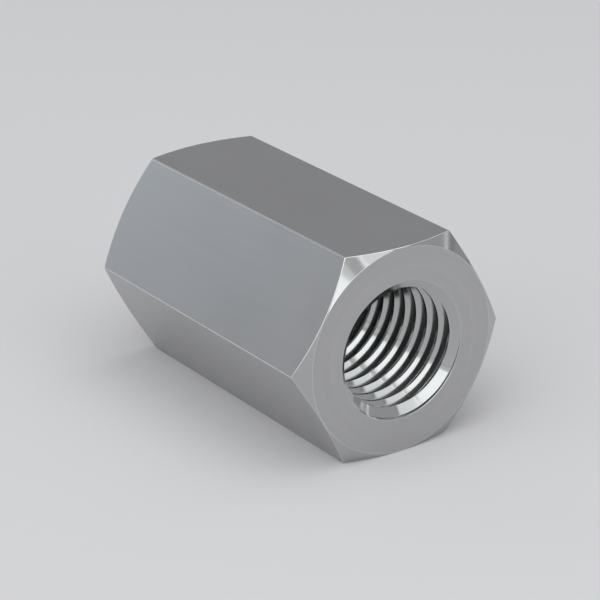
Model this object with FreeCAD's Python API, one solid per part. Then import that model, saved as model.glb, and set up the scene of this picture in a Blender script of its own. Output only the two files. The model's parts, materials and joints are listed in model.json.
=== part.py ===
import FreeCAD, Part
import math
import os

# Long hexagonal coupling nut, lying on one of its flats.
# Millimetres and degrees. The bore runs along Y, +Z is up, and two corners of the hexagon point along X.
# The origin is on the bore's axis, halfway along the nut.

# Body, cut from drawn hexagonal bar
across_flats = 24.0
nut_length = 40.0
bar_corner_radius = 0.3

# End chamfer, a cone turned on each end down to a round end face just inside the flats
end_face_diameter = 23.8
end_chamfer_angle = 30.0

# Metric coarse thread, right-hand, tapped right through
thread_major_diameter = 16.0
thread_pitch = 2.0
thread_angle = 60.0

# Countersink at each mouth, with its full cone angle
countersink_diameter = 16.0
countersink_angle = 120.0

# An internal thread stands five eighths of its sharp triangle's height in from the major diameter
sharp_thread_height = thread_pitch / 2.0 / math.tan(math.radians(thread_angle / 2.0))
minor_radius = thread_major_diameter / 2.0 - sharp_thread_height * 5.0 / 8.0

# Sharp corners of the hexagon, before they are rounded
corner_radius = across_flats / 2.0 / math.cos(math.radians(30.0))
half_length = nut_length / 2.0

# How far a cutting tool runs out past the metal
overrun = 1.0


def turned(profile):
    """A solid turned round the bore's axis from (radius, place along the axis) points."""
    points = [FreeCAD.Vector(radius, along, 0.0) for radius, along in profile]
    face = Part.Face(Part.makePolygon(points + points[:1]))
    return face.revolve(FreeCAD.Vector(0.0, 0.0, 0.0), FreeCAD.Vector(0.0, 1.0, 0.0), 360.0)


def hexagonal_bar():
    """The bar, with a flat underneath, a corner at each side and its long edges rounded."""
    corners = []
    for index in range(6):
        angle = math.radians(60.0 * index)
        x = corner_radius * math.cos(angle)
        z = corner_radius * math.sin(angle)
        corners.append(FreeCAD.Vector(x, -half_length, z))
    section = Part.Face(Part.makePolygon(corners + corners[:1]))
    bar = section.extrude(FreeCAD.Vector(0.0, nut_length, 0.0))
    long_edges = [edge for edge in bar.Edges if abs(edge.tangentAt(edge.FirstParameter).y) > 0.5]
    return bar.makeFillet(bar_corner_radius, long_edges)


def end_chamfers():
    """The turned blank whose two cones take the corners off the ends of the bar."""
    end_radius = end_face_diameter / 2.0
    blank_radius = corner_radius + overrun
    cone_depth = (blank_radius - end_radius) * math.tan(math.radians(end_chamfer_angle))
    return turned([
        (0.0, -half_length),
        (end_radius, -half_length),
        (blank_radius, -half_length + cone_depth),
        (blank_radius, half_length - cone_depth),
        (end_radius, half_length),
        (0.0, half_length),
    ])


def bore_with_countersinks():
    """What the drill and the countersinks take out, with the bore at the thread's minor diameter."""
    mouth_radius = countersink_diameter / 2.0
    slope = math.tan(math.radians(countersink_angle / 2.0))
    cone_depth = (mouth_radius - minor_radius) / slope
    overrun_radius = mouth_radius + overrun * slope
    return turned([
        (0.0, -half_length - overrun),
        (overrun_radius, -half_length - overrun),
        (minor_radius, -half_length + cone_depth),
        (minor_radius, half_length - cone_depth),
        (overrun_radius, half_length + overrun),
        (0.0, half_length + overrun),
    ])


def coupling_nut():
    """The finished nut in one piece."""
    chamfered_bar = hexagonal_bar().common(end_chamfers())
    return chamfered_bar.cut(bore_with_countersinks())


def write_part(name, shape):
    """Writes one solid and prints what it measures."""
    shape.exportStep("parts/" + name + ".step")
    box = shape.optimalBoundingBox()
    print(name, "solids", len(shape.Solids), "valid", shape.isValid(), "volume", round(shape.Volume, 1))
    print("  size", round(box.XLength, 3), round(box.YLength, 3), round(box.ZLength, 3))


os.makedirs("parts", exist_ok=True)
write_part("coupling_nut", coupling_nut())
print("  bore wall radius", round(minor_radius, 6))
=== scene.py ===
# %% [markdown]
# # A hexagonal coupling nut
# A coupling nut joins two threaded rods end to end. It is one piece of steel: a length of drawn
# hexagonal bar whose ends are turned to a chamfer, drilled through, countersunk and tapped. This
# lesson dresses the plain CAD model of it. The CAD part has the right body and bore, but its bore is
# plain and its edges are sharp. Here the nut is modelled again on the same sizes, with its real
# thread and with the small edge rounds that catch the light, and it gets four machined finishes.

# %% Load the frame
import json
import math

import bmesh
import bpy
import numpy as np
from mathutils import Matrix, Vector


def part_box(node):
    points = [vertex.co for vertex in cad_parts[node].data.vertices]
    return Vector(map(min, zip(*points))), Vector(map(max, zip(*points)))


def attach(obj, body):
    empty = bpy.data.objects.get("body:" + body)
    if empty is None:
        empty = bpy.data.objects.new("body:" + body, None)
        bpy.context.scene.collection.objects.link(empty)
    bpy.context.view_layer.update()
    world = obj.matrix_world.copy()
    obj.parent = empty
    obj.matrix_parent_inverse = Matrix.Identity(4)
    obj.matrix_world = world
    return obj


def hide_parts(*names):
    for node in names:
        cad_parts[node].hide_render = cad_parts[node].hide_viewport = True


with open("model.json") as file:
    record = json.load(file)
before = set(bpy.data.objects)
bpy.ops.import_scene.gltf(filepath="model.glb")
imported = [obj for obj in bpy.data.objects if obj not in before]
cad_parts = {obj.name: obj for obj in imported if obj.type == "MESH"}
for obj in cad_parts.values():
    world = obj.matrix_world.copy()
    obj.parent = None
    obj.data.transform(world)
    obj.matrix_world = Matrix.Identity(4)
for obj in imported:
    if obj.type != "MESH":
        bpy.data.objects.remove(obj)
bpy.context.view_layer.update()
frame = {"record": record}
mm_per_metre = 1000

# %% [markdown]
# ## Sizes
# Every size that the CAD part already holds is read from it, so the dressed nut can't drift away from
# the plain one. The bore runs along Y, the nut lies on a flat, and the front end is the one at -Y. The
# mesh is built in millimetres, because mesh tools work best on numbers near one, and it is scaled to
# metres at the end. The thread mount gives the wall of the bore at the thread's crests.

# %% Read the sizes
node_low, node_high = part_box("coupling_nut")
half_flats = mm_per_metre * node_high.z
half_length = mm_per_metre * node_high.y
half_corners = mm_per_metre * node_high.x

mounts = {mount["name"]: mount for mount in frame["record"]["mounts"]}
minor_radius = mounts["thread"]["dims"]["r_mm"]
wall_length = mounts["thread"]["dims"]["length_mm"]

countersink_depth = half_length - wall_length / 2
countersink_slope = math.tan(math.radians(60))   # half of the cone's 120 degrees
mouth_radius = minor_radius + countersink_depth * countersink_slope

to_corner = math.radians(30)     # from the middle of a flat to a corner, seen along the bore
sharp_corner = half_flats / math.cos(to_corner)
bar_round = (sharp_corner - half_corners) / (1 / math.cos(to_corner) - 1)
print("mouth radius", round(mouth_radius, 3), "bar corner round", round(bar_round, 3))

# %% [markdown]
# ## Lines with rounded corners
# No machined edge is perfectly sharp. A tiny round is what draws the bright line along an edge, so
# both outlines of this nut, the end's and the thread's, are drawn as straight lines with arcs at the
# corners. The helper below walks along such a line and gives each point with its direction. The
# direction is kept because it gives the exact surface normal later, and exact normals keep
# reflections straight on a part this shiny.

# %% A helper for rounded outlines
def turned_by(vector, angle):
    """The 2D vector turned by an angle."""
    c, s = math.cos(angle), math.sin(angle)
    return np.array([c * vector[0] - s * vector[1], s * vector[0] + c * vector[1]])


def rounded_line(corners, radii, steps, splits):
    """Points and directions along a line whose inner corners are arcs. Each straight run is split."""
    corners = [np.array(corner, float) for corner in corners]
    directions = [b - a for a, b in zip(corners, corners[1:])]
    directions = [d / np.linalg.norm(d) for d in directions]
    points, along = [corners[0]], [directions[0]]
    for index, radius in enumerate(radii):
        before, after = directions[index], directions[index + 1]
        turn = math.atan2(before[0] * after[1] - before[1] * after[0], before @ after)
        cut = radius * math.tan(abs(turn) / 2)
        start = corners[index + 1] - before * cut
        last = points[-1]
        for part in range(1, splits[index]):
            points.append(last + (start - last) * part / splits[index])
            along.append(before)
        to_centre = turned_by(before, math.copysign(math.pi / 2, turn))
        centre = start + to_centre * radius
        for step in range(steps + 1):
            angle = turn * step / steps
            points.append(centre - turned_by(to_centre, angle) * radius)
            along.append(turned_by(before, angle))
    last = points[-1]
    for part in range(1, splits[-1] + 1):
        points.append(last + (corners[-1] - last) * part / splits[-1])
        along.append(directions[-1])
    return np.array(points), np.array(along)


# %% [markdown]
# ## The thread's profile
# The thread is a metric one: flanks at 60 degrees to each other and a pitch of 2 mm. Between the
# flanks stand a narrow flat crest and a wider flat root. The photographed nut shows narrow dark lines
# for its crests, an eighth of the pitch wide, so that is the crest here. The corners get small rounds,
# as a tap leaves them. One pitch of the profile is drawn from the middle of a crest to the middle of
# the next, as distance along the bore against radius.

# %% Draw one pitch of the thread
pitch = 2.0
flank_slope = math.tan(math.radians(60))   # a flank's angle from the axis
crest_width = pitch / 8
root_gap = 0.05                            # from a root out to the radius of the mouth
root_radius = mouth_radius - root_gap
crest_round = 0.05
root_round = 0.07
profile_arc_steps = 3
profile_splits = [1, 2, 1, 2, 1]           # each flank is split in two

flank_width = (root_radius - minor_radius) / flank_slope
profile_corners = [
    (0, minor_radius),
    (crest_width / 2, minor_radius),
    (crest_width / 2 + flank_width, root_radius),
    (pitch - crest_width / 2 - flank_width, root_radius),
    (pitch - crest_width / 2, minor_radius),
    (pitch, minor_radius),
]
profile_rounds = [crest_round, root_round, root_round, crest_round]
profile, profile_along = rounded_line(profile_corners, profile_rounds, profile_arc_steps, profile_splits)
profile_slope = profile_along[:, 1] / profile_along[:, 0]
rows_per_turn = len(profile) - 1
print("rows in one pitch", rows_per_turn, "thread depth", round(root_radius - minor_radius, 3), "mm")

# %% [markdown]
# ## The threaded wall
# A thread is one profile that climbs as it goes round. The wall is laid out as a grid whose columns
# stand round the bore and whose rows follow the helix, so crest and root are rows of the grid and
# stay crisp all the way. After one full turn a row has climbed one pitch, so the last column joins
# the first one a pitch further on. A right-hand thread moves away from the viewer as it turns
# clockwise. Here angles run from +X towards +Z, which is anticlockwise seen from the front.

# %% Lay out the helical wall
columns = 144
crest_start = math.radians(136)  # where the middle of the crest comes out at the front end
spare_turns = 2                  # at each end, to be trimmed off
turns = int(2 * half_length / pitch) + 2 * spare_turns
first_turn = -half_length - spare_turns * pitch


def helix_drop(angle):
    """How far a point of the thread moves towards the front, turned by this angle."""
    return pitch * (angle - crest_start) / (2 * math.pi)


def add_thread_wall(mesh):
    """Adds the helical wall, longer than the nut at both ends."""
    rows = turns * rows_per_turn
    grid = []
    for column in range(columns):
        angle = 2 * math.pi * column / columns
        line = []
        for row in range(rows):
            turn, place = divmod(row, rows_per_turn)
            along, radius = profile[place]
            y = first_turn + turn * pitch + along - helix_drop(angle)
            line.append(mesh.verts.new((radius * math.cos(angle), y, radius * math.sin(angle))))
        grid.append(line)
    for column in range(columns):
        shift = 0 if column + 1 < columns else -rows_per_turn
        following = grid[(column + 1) % columns]
        for row in range(max(0, -shift), rows - 1):
            mesh.faces.new((grid[column][row], following[row + shift],
                            following[row + 1 + shift], grid[column][row + 1]))


nut = bmesh.new()
add_thread_wall(nut)
print("faces in the raw wall", len(nut.faces))

# %% [markdown]
# ## Cutting the wall to the countersinks
# Each mouth is countersunk, so the thread has to end on a cone. Cutting a mesh on a cone is awkward,
# but cutting it on a plane is easy. So every point is first slid along the axis in proportion to its
# radius, which turns the cone into a flat plane. The mesh is cut there and slid back, and its new
# edge lies exactly on the cone. A boolean would give the same curve with a messier mesh.

# %% Trim both ends on their cones
both_ends = (-1, 1)              # the front at -Y and the back at +Y
on_plane = 1e-5                  # points closer to the cut than this count as on it
weld = 1e-4                      # points closer to each other than this become one


def slide(mesh, share):
    """Slides every point along the axis by a share of its radius."""
    for vert in mesh.verts:
        vert.co.y += share * math.hypot(vert.co.x, vert.co.z)


def trim(mesh, end):
    """Cuts off what the countersink takes away at one end, -1 for the front and 1 for the back."""
    slide(mesh, -end / countersink_slope)
    plane = end * (half_length - mouth_radius / countersink_slope)
    everything = mesh.verts[:] + mesh.edges[:] + mesh.faces[:]
    bmesh.ops.bisect_plane(mesh, geom=everything, dist=on_plane, plane_co=(0, plane, 0),
                           plane_no=(0, end, 0), clear_outer=True)
    slide(mesh, end / countersink_slope)


for end in both_ends:
    trim(nut, end)
bmesh.ops.remove_doubles(nut, verts=nut.verts[:], dist=weld)
print("faces in the trimmed wall", len(nut.faces))

# %% [markdown]
# ## The outside
# The body is a hexagon with slightly rounded corners. At each end a cone of 30 degrees takes the
# corners off. Where a cone meets a flat the edge is a curve, low at the corners and nearly touching
# the end face at the middle of each flat. One grid makes all of it: the columns stand at points round
# the hexagon, and each column runs from the mouth over the end face, down the cone and along the flat.
# The curve then comes by itself, because each column meets the cone at its own radius.

# %% Points round the hexagon
side_angle = 60                  # between one flat and the next, in degrees
corner_steps = 6
flat_steps = 24
round_centre = sharp_corner - bar_round / math.cos(to_corner)


def direction(degrees):
    """The unit vector at an angle from +X towards +Z."""
    return np.array([math.cos(math.radians(degrees)), math.sin(math.radians(degrees))])


def hexagon_points():
    """Points round the rounded hexagon, with the way that the bar's surface faces at each."""
    points, facing = [], []
    for corner in range(0, 360, side_angle):
        for step in range(corner_steps + 1):
            normal = direction(corner - side_angle / 2 + side_angle * step / corner_steps)
            points.append(round_centre * direction(corner) + bar_round * normal)
            facing.append(normal)
        start = points[-1]
        stop = round_centre * direction(corner + side_angle) + bar_round * facing[-1]
        for step in range(1, flat_steps):
            points.append(start + (stop - start) * step / flat_steps)
            facing.append(facing[-1])
    return points, facing


section, section_facing = hexagon_points()
print("points round the hexagon", len(section))

# %% [markdown]
# ## The end's outline
# The outline starts on the countersink's cone just inside the mouth, goes round the mouth's edge,
# over the end face, round the chamfer's edge, down the cone and round on to the flat. The rounds here
# are about a tenth of a millimetre, which is what tumbling and handling leave on a turned part.

# %% The outline of one end
face_inset = 0.1                 # keeps the end face's circle inside the flats
end_face_radius = half_flats - face_inset
chamfer_angle = math.radians(30)
ring_width = 0.04                # the part of the countersink that comes with the outside
ring_radius = mouth_radius - ring_width
mouth_round = 0.08
edge_round = 0.12
outline_arc_steps = 4
outline_splits = [1, 4, 3, 5]


def end_outline(radius):
    """The outline in a column of this radius, as radius against depth below the end face."""
    corners = [
        (ring_radius, (mouth_radius - ring_radius) / countersink_slope),
        (mouth_radius, 0),
        (end_face_radius, 0),
        (radius, (radius - end_face_radius) * math.tan(chamfer_angle)),
        (radius, half_length),
    ]
    rounds = [mouth_round, edge_round, edge_round]
    return rounded_line(corners, rounds, outline_arc_steps, outline_splits)


outline, outline_along = end_outline(half_corners)
print("points in the outline", len(outline))

# %% [markdown]
# ## Laying out the outside
# Each point of the grid gets its exact normal with it. On the end face and the cones a surface faces
# along the radius, but on a flat it faces as the whole flat does, so in the round between cone and
# flat the one turns into the other. Faces also get a finish number here, which later picks the
# material: drawn flats, turned end faces, bright cut cones or the tapped thread. A second number marks
# the faces of the small rounds, because edges rub against everything and end up brighter than the
# surfaces between them. The paler colour that the materials give these faces is partly that wear and
# partly a painted highlight, the bright line along each edge. The mark belongs to the faces, not to
# the points, so that it ends where a round ends.

# %% Directions and finishes of the outside
FLATS, END_FACES, CUT_CONES, THREAD = range(4)
along_flat = 0.9         # a stretch of outline that runs inward by more than this lies on a flat
across_end = 0.999       # and one that runs outward by more than this lies on the end face
same_way = 0.9999        # two directions whose product is above this are one


def outside_normal(point_direction, facing, step, end):
    """The surface's direction at a point whose outline goes outward and inward by step."""
    outward, inward = step
    cone_share = math.sin(chamfer_angle)
    share = max(0.0, (inward - cone_share) / (1 - cone_share))
    side = point_direction * (1 - share) + facing * share
    side = side / np.linalg.norm(side)
    return Vector((side[0] * inward, end * outward, side[1] * inward))


def finish_of(step):
    """The finish of a stretch of outline, from the way it runs."""
    outward, inward = step
    if inward > along_flat:
        return FLATS
    if outward > across_end:
        return END_FACES
    return CUT_CONES


print("finish numbers down the outline", [finish_of(step) for step in outline_along])

# %% Lay out the outside
exact = nut.verts.layers.float_vector.new("exact_normal")
edge_round_mark = nut.faces.layers.float.new("edge_round")


def add_end(mesh, end):
    """Adds one end and its half of the body. Gives the ring of edges at the mouth."""
    grid, steps = [], []
    for point, facing in zip(section, section_facing):
        radius = float(np.linalg.norm(point))
        line, along = end_outline(radius)
        column = []
        for (distance, depth), step in zip(line, along):
            place = point / radius * distance
            vert = mesh.verts.new((place[0], end * (half_length - depth), place[1]))
            vert[exact] = outside_normal(point / radius, facing, step, end)
            column.append(vert)
        grid.append(column)
        steps.append(along)
    for index, column in enumerate(grid):
        following = grid[(index + 1) % len(grid)]
        for row in range(len(column) - 1):
            face = mesh.faces.new((column[row], following[row], following[row + 1], column[row + 1]))
            middle = steps[index][row] + steps[index][row + 1]
            face.material_index = finish_of(middle / np.linalg.norm(middle))
            in_outline = steps[index][row] @ steps[index][row + 1] < same_way
            turn = section_facing[index] @ section_facing[(index + 1) % len(grid)]
            on_corner = face.material_index == FLATS and turn < same_way
            face[edge_round_mark] = 1.0 if in_outline or on_corner else 0.0
    return [mesh.edges.get((a[0], b[0])) for a, b in zip(grid, grid[1:] + grid[:1])]


def open_edges(mesh, end):
    """The edges at one end that have a face on one side only."""
    return [edge for edge in mesh.edges
            if edge.is_boundary and end * edge.verts[0].co.y > half_length / 2]


for face in nut.faces:
    face.material_index = THREAD
thread_ends = {end: open_edges(nut, end) for end in both_ends}
mouths = {end: add_end(nut, end) for end in both_ends}
halfway = [vert for vert in nut.verts if abs(vert.co.y) < 10 * weld]
bmesh.ops.remove_doubles(nut, verts=halfway, dist=weld)
print("faces with the outside", len(nut.faces),
      "of which on rounds", sum(1 for face in nut.faces if face[edge_round_mark] > 0.5))

# %% [markdown]
# ## Closing the countersinks
# What is left open at each end is a ring of the countersink's cone, between the mouth and the ragged
# edge where the thread runs out. Both of its borders are there already, so a fill tool lays triangles
# between them. The mesh is then closed, and that is tested: every edge has to have two faces.

# %% Close the countersinks
CONE_RING = 4

for end in both_ends:
    filled = bmesh.ops.triangle_fill(nut, use_beauty=True, edges=thread_ends[end] + mouths[end],
                                     normal=(0, end, 0))
    for item in filled["geom"]:
        if isinstance(item, bmesh.types.BMFace):
            item.material_index = CONE_RING
bmesh.ops.recalc_face_normals(nut, faces=nut.faces[:])
loose = sum(1 for edge in nut.edges if len(edge.link_faces) != 2)
print("faces", len(nut.faces), "open edges", loose,
      "volume in mm3", round(nut.calc_volume(signed=True), 1))

# %% [markdown]
# ## Exact normals
# Smooth shading guesses each point's normal from the faces around it, and on long thin faces the guess
# is poor. Here the true direction is known everywhere. On the thread it follows from the profile's
# slope and the helix's climb, on the ring it is the cone's, and on the outside it came with each
# point. A point on the edge between thread and cone gets one normal for each side, which keeps that
# edge sharp.

# %% Work out a normal for each face corner
climb = pitch / (2 * math.pi)
ring_lean = math.atan(countersink_slope)


def thread_normal(place):
    """The thread's direction at a point: away from the metal, into the bore."""
    angle = math.atan2(place.z, place.x)
    radius = math.hypot(place.x, place.z)
    along = (place.y - first_turn + helix_drop(angle)) % pitch
    slope = float(np.interp(along, profile[:, 0], profile_slope))
    turning = slope * climb / radius
    c, s = math.cos(angle), math.sin(angle)
    return Vector((-c - s * turning, slope, -s + c * turning)).normalized()


def ring_normal(place):
    """The countersink cone's direction at a point."""
    radius = math.hypot(place.x, place.z)
    axial = math.copysign(math.sin(ring_lean), place.y)
    inward = -math.cos(ring_lean) / radius
    return Vector((place.x * inward, axial, place.z * inward))


def corner_normals(mesh):
    """One normal for each corner of each face, in the mesh's own order."""
    normals = []
    for face in mesh.faces:
        for vert in face.verts:
            if face.material_index == THREAD:
                normals.append(thread_normal(vert.co))
            elif face.material_index == CONE_RING:
                normals.append(ring_normal(vert.co))
            else:
                normals.append(vert[exact].copy())
    return normals


nut.normal_update()
normals = corner_normals(nut)
corners = [face.normal for face in nut.faces for vert in face.verts]
far_off = 0.3                    # the product of two directions about 70 degrees apart
against = sum(1 for a, b in zip(normals, corners) if a.dot(b) < far_off)
print("corners", len(normals), "of which far from their face's own direction", against)

# %% [markdown]
# ## The finished mesh
# The mesh is scaled to metres and becomes an object that stands in for the plain CAD node and rides
# with the only body.

# %% Make the object
for face in nut.faces:
    if face.material_index == CONE_RING:
        face.material_index = CUT_CONES
nut.transform(Matrix.Scale(1 / mm_per_metre, 4))
nut_data = bpy.data.meshes.new("nut")
nut.to_mesh(nut_data)
nut.free()
nut_data.attributes.remove(nut_data.attributes["exact_normal"])
nut_data.shade_smooth()
nut_data.normals_split_custom_set(normals)

nut_piece = bpy.data.objects.new("threaded_nut", nut_data)
bpy.context.scene.collection.objects.link(nut_piece)
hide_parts("coupling_nut")
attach(nut_piece, "root")
print("triangles", sum(len(p.vertices) - 2 for p in nut_data.polygons))

# %% [markdown]
# ## Effects shared by the materials
# The finishes of this nut share their effects, so each effect becomes a node group: a small set of
# nodes with named inputs and outputs, built once and placed in every material that needs it. Nodes
# made in a script take many lines, so a few helpers come first. Each adds one kind of node and gives
# back its output, and then an effect reads almost like a formula.

# %% Helpers for node groups
FLOAT, VECTOR = "NodeSocketFloat", "NodeSocketVector"


def new_group(name, inputs, outputs):
    """An empty shader node group with its input and output nodes. Inputs are names, kinds and values."""
    group = bpy.data.node_groups.new(name, "ShaderNodeTree")
    for socket, kind, value in inputs:
        made = group.interface.new_socket(socket, in_out="INPUT", socket_type=kind)
        if value is not None:
            made.default_value = value
    for socket, kind in outputs:
        group.interface.new_socket(socket, in_out="OUTPUT", socket_type=kind)
    return group, group.nodes.new("NodeGroupInput"), group.nodes.new("NodeGroupOutput")


def math_node(tree, operation, first, second=None):
    """A math node fed by sockets or numbers. Gives its output."""
    node = tree.nodes.new("ShaderNodeMath")
    node.operation = operation
    for socket, value in zip(node.inputs, (first, second)):
        if isinstance(value, bpy.types.NodeSocket):
            tree.links.new(value, socket)
        elif value is not None:
            socket.default_value = value
    return node.outputs[0]


def noise_node(tree, vector, scale, detail, roughness=0.5):
    """A noise texture read at a vector. Gives its value."""
    node = tree.nodes.new("ShaderNodeTexNoise")
    node.inputs["Scale"].default_value = scale
    node.inputs["Detail"].default_value = detail
    node.inputs["Roughness"].default_value = roughness
    tree.links.new(vector, node.inputs["Vector"])
    return node.outputs["Fac"]


print("helpers ready")

# %% [markdown]
# ## Tool lines
# Every machined surface carries fine lines that show which way it was made. On a drawn bar they run
# along the bar. On a turned face they run round the axis, like the grooves of a record. Both are
# stretched noise, read in a bent space: for the bar, space is squeezed along its length, and for a
# turned face each place is given by its distance from the axis. The place round the axis goes in as a
# cosine and a sine, because an angle would leave a seam. An image of lines would be quicker to set
# up, but it would have to be wrapped round the nut and would blur close up.

# %% Lines of drawn and of turned surfaces
LINES = [("Fine", FLOAT), ("Broad", FLOAT), ("Height", FLOAT)]
fine_noise = (5.0, 3.0, 0.6)     # scale in lines per millimetre, detail, roughness
broad_noise = (0.9, 2.0)


def put_out_lines(group, result, x, y, z):
    """Reads the noise at a bent place: fine and broad lines, and their sum as a height."""
    join = group.nodes.new("ShaderNodeCombineXYZ")
    for socket, value in zip(join.inputs, (x, y, z)):
        group.links.new(value, socket)
    fine = noise_node(group, join.outputs[0], *fine_noise)
    broad = noise_node(group, join.outputs[0], *broad_noise)
    group.links.new(fine, result.inputs["Fine"])
    group.links.new(broad, result.inputs["Broad"])
    group.links.new(math_node(group, "ADD", fine, broad), result.inputs["Height"])


def drawn_lines():
    """Lines along the bar. Stretch is how much longer they are than wide."""
    inputs = [("Place", VECTOR, None), ("Stretch", FLOAT, 60.0)]
    group, given, result = new_group("drawn_lines", inputs, LINES)
    parts = group.nodes.new("ShaderNodeSeparateXYZ")
    group.links.new(given.outputs["Place"], parts.inputs[0])
    x, y, z = [math_node(group, "MULTIPLY", part, mm_per_metre) for part in parts.outputs]
    put_out_lines(group, result, x, math_node(group, "DIVIDE", y, given.outputs["Stretch"]), z)
    return group


def turned_lines():
    """Lines round the bore's axis. Wander is how much they change on their way round."""
    inputs = [("Place", VECTOR, None), ("Wander", FLOAT, 0.4)]
    group, given, result = new_group("turned_lines", inputs, LINES)
    parts = group.nodes.new("ShaderNodeSeparateXYZ")
    group.links.new(given.outputs["Place"], parts.inputs[0])
    x, y, z = parts.outputs
    squares = [math_node(group, "MULTIPLY", side, side) for side in (x, z)]
    radius = math_node(group, "SQRT", math_node(group, "ADD", *squares))
    reach = math_node(group, "ADD", radius, math_node(group, "ABSOLUTE", y))
    shares = [math_node(group, "DIVIDE", side, radius) for side in (x, z)]
    cosine, sine = [math_node(group, "MULTIPLY", share, given.outputs["Wander"]) for share in shares]
    put_out_lines(group, result, math_node(group, "MULTIPLY", reach, mm_per_metre), cosine, sine)
    return group


drawn_group = drawn_lines()
turned_group = turned_lines()
for group in (drawn_group, turned_group):
    print(group.name, "has", [item.name for item in group.interface.items_tree])

# %% [markdown]
# ## Handling and painted edge highlights
# Finished nuts tumble about in boxes and pass through oily hands. That leaves no scratches that show
# from a step away, but it polishes the edges and leaves the satin faces slightly uneven in their
# gloss. The group below breaks up the mark of the rounds with a little noise, and adds broad soft
# clouds for the uneven gloss. Its edge output makes the rounds paler in the materials, which is partly
# that polish and partly a painted highlight along each edge.

# %% Handling marks and the painted edge highlight
# The noise and strength of the edge mark, which is partly wear and partly a painted highlight.
wear_and_highlight_noise = (300.0, 2.0)        # scale in patches per metre, detail
cloud_noise = (110.0, 3.0)
least_wear_and_highlight = 0.6
wear_and_highlight_swing = 0.5


def handling_and_highlight():
    """Edge polish, partly a painted highlight, and soft clouds, each from nought to one."""
    inputs = [("Place", VECTOR, None), ("Edge", FLOAT, 0.0)]
    outputs = [("Polish and highlight", FLOAT), ("Clouds", FLOAT)]
    group, given, result = new_group("handling_and_highlight", inputs, outputs)
    uneven = noise_node(group, given.outputs["Place"], *wear_and_highlight_noise)
    strength = math_node(group, "ADD", math_node(group, "MULTIPLY", uneven, wear_and_highlight_swing), least_wear_and_highlight)
    worn_and_highlight = math_node(group, "MULTIPLY", given.outputs["Edge"], strength)
    group.links.new(math_node(group, "MINIMUM", worn_and_highlight, 1.0), result.inputs["Polish and highlight"])
    clouds = noise_node(group, given.outputs["Place"], *cloud_noise)
    group.links.new(clouds, result.inputs["Clouds"])
    return group


handling_and_highlight_group = handling_and_highlight()
print("handling group", handling_and_highlight_group.name)

# %% [markdown]
# ## Dull roots
# A tap leaves the roots of its thread duller than the flanks, and oil and fine chips stay in them. On a
# render that matters more than it sounds: a polished root mirrors only the groove around it and goes
# black, while a slightly dull one catches some light and stays dark grey. The mask below is one in
# the roots and nought on the open part of the flanks. On the first turn at each mouth, which is open
# to the light, only the bottom of the groove counts. It is worked out from a place's distance to the
# axis and to the end face, in millimetres.

# %% A mask for the roots
roots_from, roots_full = minor_radius + 0.4, minor_radius + 0.8
first_turn_from, first_turn_past = 0.8, 1.3      # depth below the end face
bottom_from, bottom_full = root_radius - root_round, root_radius - 0.02


def rising_mask(tree, value, start, end):
    """A mask that rises from nought to one while a value goes from start to end."""
    node = tree.nodes.new("ShaderNodeMapRange")
    tree.links.new(value, node.inputs["Value"])
    node.inputs["From Min"].default_value = start
    node.inputs["From Max"].default_value = end
    return node.outputs["Result"]


def root_mask(tree, place):
    """One in the roots of the thread, nought on its open flanks and crests."""
    parts = tree.nodes.new("ShaderNodeSeparateXYZ")
    tree.links.new(place, parts.inputs[0])
    x, y, z = [math_node(tree, "MULTIPLY", part, mm_per_metre) for part in parts.outputs]
    squares = [math_node(tree, "MULTIPLY", side, side) for side in (x, z)]
    radius = math_node(tree, "SQRT", math_node(tree, "ADD", *squares))
    inside = math_node(tree, "SUBTRACT", half_length, math_node(tree, "ABSOLUTE", y))
    deep = rising_mask(tree, radius, roots_from, roots_full)
    past_first_turn = rising_mask(tree, inside, first_turn_from, first_turn_past)
    bottom = rising_mask(tree, radius, bottom_from, bottom_full)
    return math_node(tree, "MAXIMUM", math_node(tree, "MULTIPLY", deep, past_first_turn), bottom)


print("roots are dull from radius", round(roots_from, 2), "mm on")

# %% [markdown]
# ## The four finishes
# All four are the same bare bright steel, and what differs is how each surface was cut. The flats keep
# the satin skin of the drawn bar, and the end faces are faced off on a lathe and nearly as satin. The
# chamfers and countersinks are cut by a keen form tool, and the thread is burnished by the tap, so
# both are far glossier. So one function builds a finish, with the way its lines run, its roughness and
# how much each effect counts. The lines swing the colour between a dull and a bright grey, and with
# the clouds they swing the roughness. Worn edges are paler and smoother than the rest; the paler
# colour is partly wear and partly a painted highlight along each edge.

# %% Build a finish
# The colour of the rounds: partly worn steel, partly a painted highlight along each edge.
worn_edge_and_highlight = (0.66, 0.66, 0.67)
smoother_when_worn = 0.35


def mixed_colour(tree, share, first, second):
    """A colour between two, by a socket that runs from nought to one. Each is a colour or a socket."""
    node = tree.nodes.new("ShaderNodeMix")
    node.data_type = "RGBA"
    tree.links.new(share, node.inputs["Factor"])
    for name, colour in (("A", first), ("B", second)):
        socket = next(item for item in node.inputs if item.name == name and item.type == "RGBA")
        if isinstance(colour, bpy.types.NodeSocket):
            tree.links.new(colour, socket)
        else:
            socket.default_value = (*colour, 1)
    return next(item for item in node.outputs if item.type == "RGBA")


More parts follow.
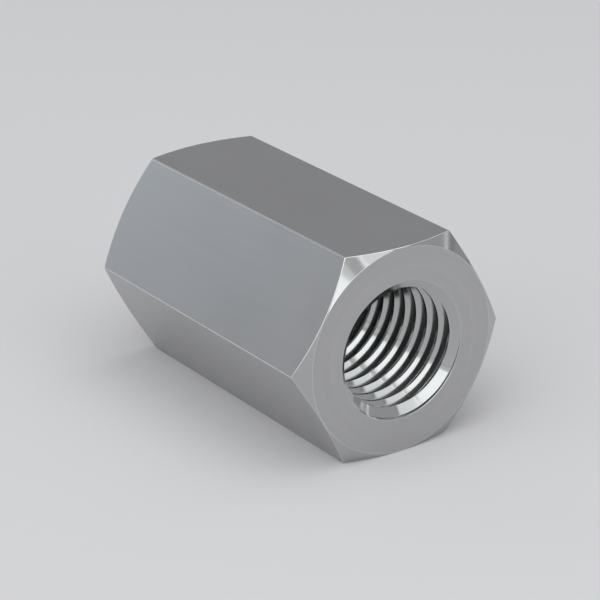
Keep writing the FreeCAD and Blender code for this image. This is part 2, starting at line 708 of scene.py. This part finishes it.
def steel_finish(name, lines_group, greys, spread, roughness, uneven, relief, root_dullness=None):
    """A bare steel material. Greys are its dull and bright ones, spread is what the group of lines
    calls stretch or wander, uneven is how far the roughness swings, and relief is in metres."""
    material = bpy.data.materials.new(name)
    material.use_nodes = True
    tree = material.node_tree
    shader = tree.nodes["Principled BSDF"]
    shader.inputs["Metallic"].default_value = 1

    place = tree.nodes.new("ShaderNodeTexCoord").outputs["Object"]
    mark = tree.nodes.new("ShaderNodeAttribute")
    mark.attribute_name = "edge_round"
    lines = tree.nodes.new("ShaderNodeGroup")
    lines.node_tree = lines_group
    lines.inputs[1].default_value = spread
    marks = tree.nodes.new("ShaderNodeGroup")
    marks.node_tree = handling_and_highlight_group
    tree.links.new(place, lines.inputs["Place"])
    tree.links.new(place, marks.inputs["Place"])
    tree.links.new(mark.outputs["Fac"], marks.inputs["Edge"])

    both_lines = math_node(tree, "ADD", lines.outputs["Fine"], lines.outputs["Broad"])
    lined = mixed_colour(tree, math_node(tree, "MULTIPLY", both_lines, 0.5), *greys)
    # The rounds are painted paler here: partly edge wear, partly a painted highlight.
    colour = mixed_colour(tree, marks.outputs["Polish and highlight"], lined, worn_edge_and_highlight)
    tree.links.new(colour, shader.inputs["Base Color"])

    gloss = math_node(tree, "ADD", lines.outputs["Fine"], marks.outputs["Clouds"])
    swing = math_node(tree, "MULTIPLY", math_node(tree, "SUBTRACT", gloss, 1.0), uneven)
    surface = math_node(tree, "ADD", swing, roughness)
    if root_dullness:
        dulled = math_node(tree, "MULTIPLY", root_mask(tree, place), root_dullness)
        surface = math_node(tree, "ADD", surface, dulled)
    lost = math_node(tree, "MULTIPLY", marks.outputs["Polish and highlight"], smoother_when_worn)
    kept = math_node(tree, "SUBTRACT", 1.0, lost)
    tree.links.new(math_node(tree, "MULTIPLY", surface, kept), shader.inputs["Roughness"])

    bump = tree.nodes.new("ShaderNodeBump")
    bump.inputs["Distance"].default_value = relief
    tree.links.new(lines.outputs["Height"], bump.inputs["Height"])
    tree.links.new(bump.outputs["Normal"], shader.inputs["Normal"])
    return material


print("finish builder ready")

# %% The four finishes
# Each pair is the dull and the bright grey of a finish.
satin = ((0.475, 0.475, 0.48), (0.525, 0.525, 0.53))
faced = ((0.42, 0.42, 0.42), (0.545, 0.545, 0.545))
glossy = ((0.455, 0.46, 0.46), (0.51, 0.515, 0.515))
finishes = [
    steel_finish("drawn_flats", drawn_group, satin,
                 spread=60.0, roughness=0.36, uneven=0.10, relief=1.0e-6),
    steel_finish("turned_face", turned_group, faced,
                 spread=0.4, roughness=0.35, uneven=0.14, relief=1.6e-6),
    steel_finish("bright_cut", turned_group, glossy,
                 spread=0.25, roughness=0.09, uneven=0.04, relief=0.4e-6),
    steel_finish("tapped_thread", turned_group, glossy,
                 spread=0.25, roughness=0.09, uneven=0.04, relief=0.4e-6, root_dullness=0.18),
]
for material in finishes:
    nut_data.materials.append(material)
print("finishes", [material.name for material in finishes])

# %% [markdown]
# ## Floor
# The nut lies on one flat on a plain pale floor. The floor is large enough to fill the picture and to
# be the pale ground that the lower faces and the lip of the bore reflect.

# %% Floor
floor_half = 1.5
floor_grey = (0.60, 0.60, 0.61, 1)
floor_roughness = 0.8
floor_data = bpy.data.meshes.new("floor")
floor_signs = ((-1, -1), (1, -1), (1, 1), (-1, 1))
floor_corners = [(floor_half * x, floor_half * y, 0) for x, y in floor_signs]
floor_data.from_pydata(floor_corners, [], [(0, 1, 2, 3)])
floor = bpy.data.objects.new("floor", floor_data)
floor.location.z = node_low.z
bpy.context.scene.collection.objects.link(floor)
floor_paint = bpy.data.materials.new("pale_floor")
floor_paint.use_nodes = True
floor_shader = floor_paint.node_tree.nodes["Principled BSDF"]
floor_shader.inputs["Base Color"].default_value = floor_grey
floor_shader.inputs["Roughness"].default_value = floor_roughness
floor_data.materials.append(floor_paint)
print("floor at height in mm", round(mm_per_metre * floor.location.z, 2))

# %% [markdown]
# ## Camera
# The camera stands in front of the nut, to its left and above it. Its place comes from fitting the
# seen corners of the nut, which gives two angles, a distance and a lens. The nut isn't quite in the
# middle of the picture, so the camera is moved aside a little, not turned.

# %% Camera
picture_width = 600
focal_pixels = 2613.6
nut_pixel = (295.6, 292.2)       # where the nut's middle is in the picture
camera_azimuth = math.radians(-35.17)
camera_elevation = math.radians(22.77)
camera_distance = 0.29607
sensor_width = 36


def away_direction(azimuth, elevation):
    """The unit vector from the nut towards something at these angles. Azimuth 0 is in front, at -Y."""
    return Vector((math.sin(azimuth) * math.cos(elevation),
                   -math.cos(azimuth) * math.cos(elevation),
                   math.sin(elevation)))


camera_data = bpy.data.cameras.new("camera")
camera_data.sensor_width = sensor_width
camera_data.lens = sensor_width * focal_pixels / picture_width
camera_data.clip_start = 0.01
camera = bpy.data.objects.new("camera", camera_data)
bpy.context.scene.collection.objects.link(camera)
camera.rotation_mode = "QUATERNION"
to_camera = away_direction(camera_azimuth, camera_elevation)
camera.rotation_quaternion = (-to_camera).to_track_quat("-Z", "Y")
half_width = picture_width / 2
to_nut = Vector((nut_pixel[0] - half_width, half_width - nut_pixel[1], -focal_pixels))
camera.location = -(camera.rotation_quaternion @ to_nut.normalized()) * camera_distance
bpy.context.scene.camera = camera
print("lens in mm", round(camera_data.lens, 1),
      "camera at mm", [round(mm_per_metre * c) for c in camera.location])

# %% [markdown]
# ## Light
# Polished steel shows the room more than its own colour, so the lamps are placed by what each face
# mirrors. The chamfer, the countersink and the thread's flanks mirror the front, so the whites on them
# come from soft panels there. Two narrow strips at the right draw thin light streaks on the upper
# right chamfer and at the bottom of the countersink, and a high panel draws the bright line along the
# top edge. The end face and the lower flats mirror the pale floor, and the upper flats mirror the
# plain grey room behind. Two wide panels, overhead and at the left, light the floor at a level at
# which a white sheet would come out just white. A panel is placed by two angles seen from the nut,
# because its direction decides where its reflection falls, and its size how wide that is.

# %% The room and a helper for lamps
room_grey = (0.36, 0.363, 0.372, 1)
plain_white = (1.0, 1.0, 1.0)
cool_white = (0.96, 1.0, 1.0)
pale_blue = (0.74, 0.88, 1.0)

room = bpy.data.worlds.new("room")
room.use_nodes = True
room.node_tree.nodes["Background"].inputs["Color"].default_value = room_grey
bpy.context.scene.world = room


def soft_panel(name, azimuth, elevation, distance, width, height, brightness, colour=plain_white):
    """A rectangular lamp that faces the nut, by its angles in degrees and its distance and size in
    metres. Brightness one is that of a white sheet in full light."""
    lamp_data = bpy.data.lights.new(name, "AREA")
    lamp_data.shape = "RECTANGLE"
    lamp_data.size = width
    lamp_data.size_y = height
    lamp_data.energy = brightness * math.pi * width * height
    lamp_data.color = colour
    lamp = bpy.data.objects.new(name, lamp_data)
    away = away_direction(math.radians(azimuth), math.radians(elevation))
    lamp.location = away * distance
    lamp.rotation_mode = "QUATERNION"
    lamp.rotation_quaternion = (-away).to_track_quat("-Z", "Y")
    bpy.context.scene.collection.objects.link(lamp)
    return lamp


print("room", room.name, "in grey", room_grey[:3])

# %% Lamps
# Each line says name, azimuth, elevation, distance, width, height, brightness and colour if not white.
soft_panel("overhead_panel", 0, 75, 0.9, 1.35, 1.1, 1.22)
soft_panel("left_panel", -84, 35, 0.9, 1.1, 0.9, 1.0)
soft_panel("camera_side_panel", -50, 45, 0.9, 0.6, 0.4, 0.6)
soft_panel("front_panel", 1.2, 13.6, 0.7, 0.424, 0.246, 1.42, cool_white)
soft_panel("front_top_panel", 0.5, 29.9, 0.7, 0.242, 0.152, 0.3)
soft_panel("front_top_left_panel", -4, 29.9, 0.7, 0.139, 0.152, 0.35)
soft_panel("front_low_panel", -12, 2.2, 0.7, 0.5, 0.06, 0.45)
soft_panel("front_right_panel", 20, 26.5, 0.7, 0.232, 0.24, 0.9, cool_white)
soft_panel("right_panel", 47.5, 13, 0.7, 0.407, 0.3, 0.16)
soft_panel("right_low_strip", 59.3, 8, 0.7, 0.02, 0.1, 0.7)
soft_panel("right_strip", 64.5, 11.5, 0.7, 0.022, 0.26, 0.65)
soft_panel("right_end_panel", 74.4, 11.5, 0.7, 0.132, 0.26, 0.12)
soft_panel("right_high_panel", 92, 46, 0.8, 0.35, 0.25, 0.9)
soft_panel("back_panel", 182, 45, 0.8, 0.3, 0.2, 0.4)
soft_panel("back_left_panel", -156, 17, 0.35, 0.12, 0.16, 0.78, pale_blue)

bpy.context.scene.view_settings.view_transform = "Standard"
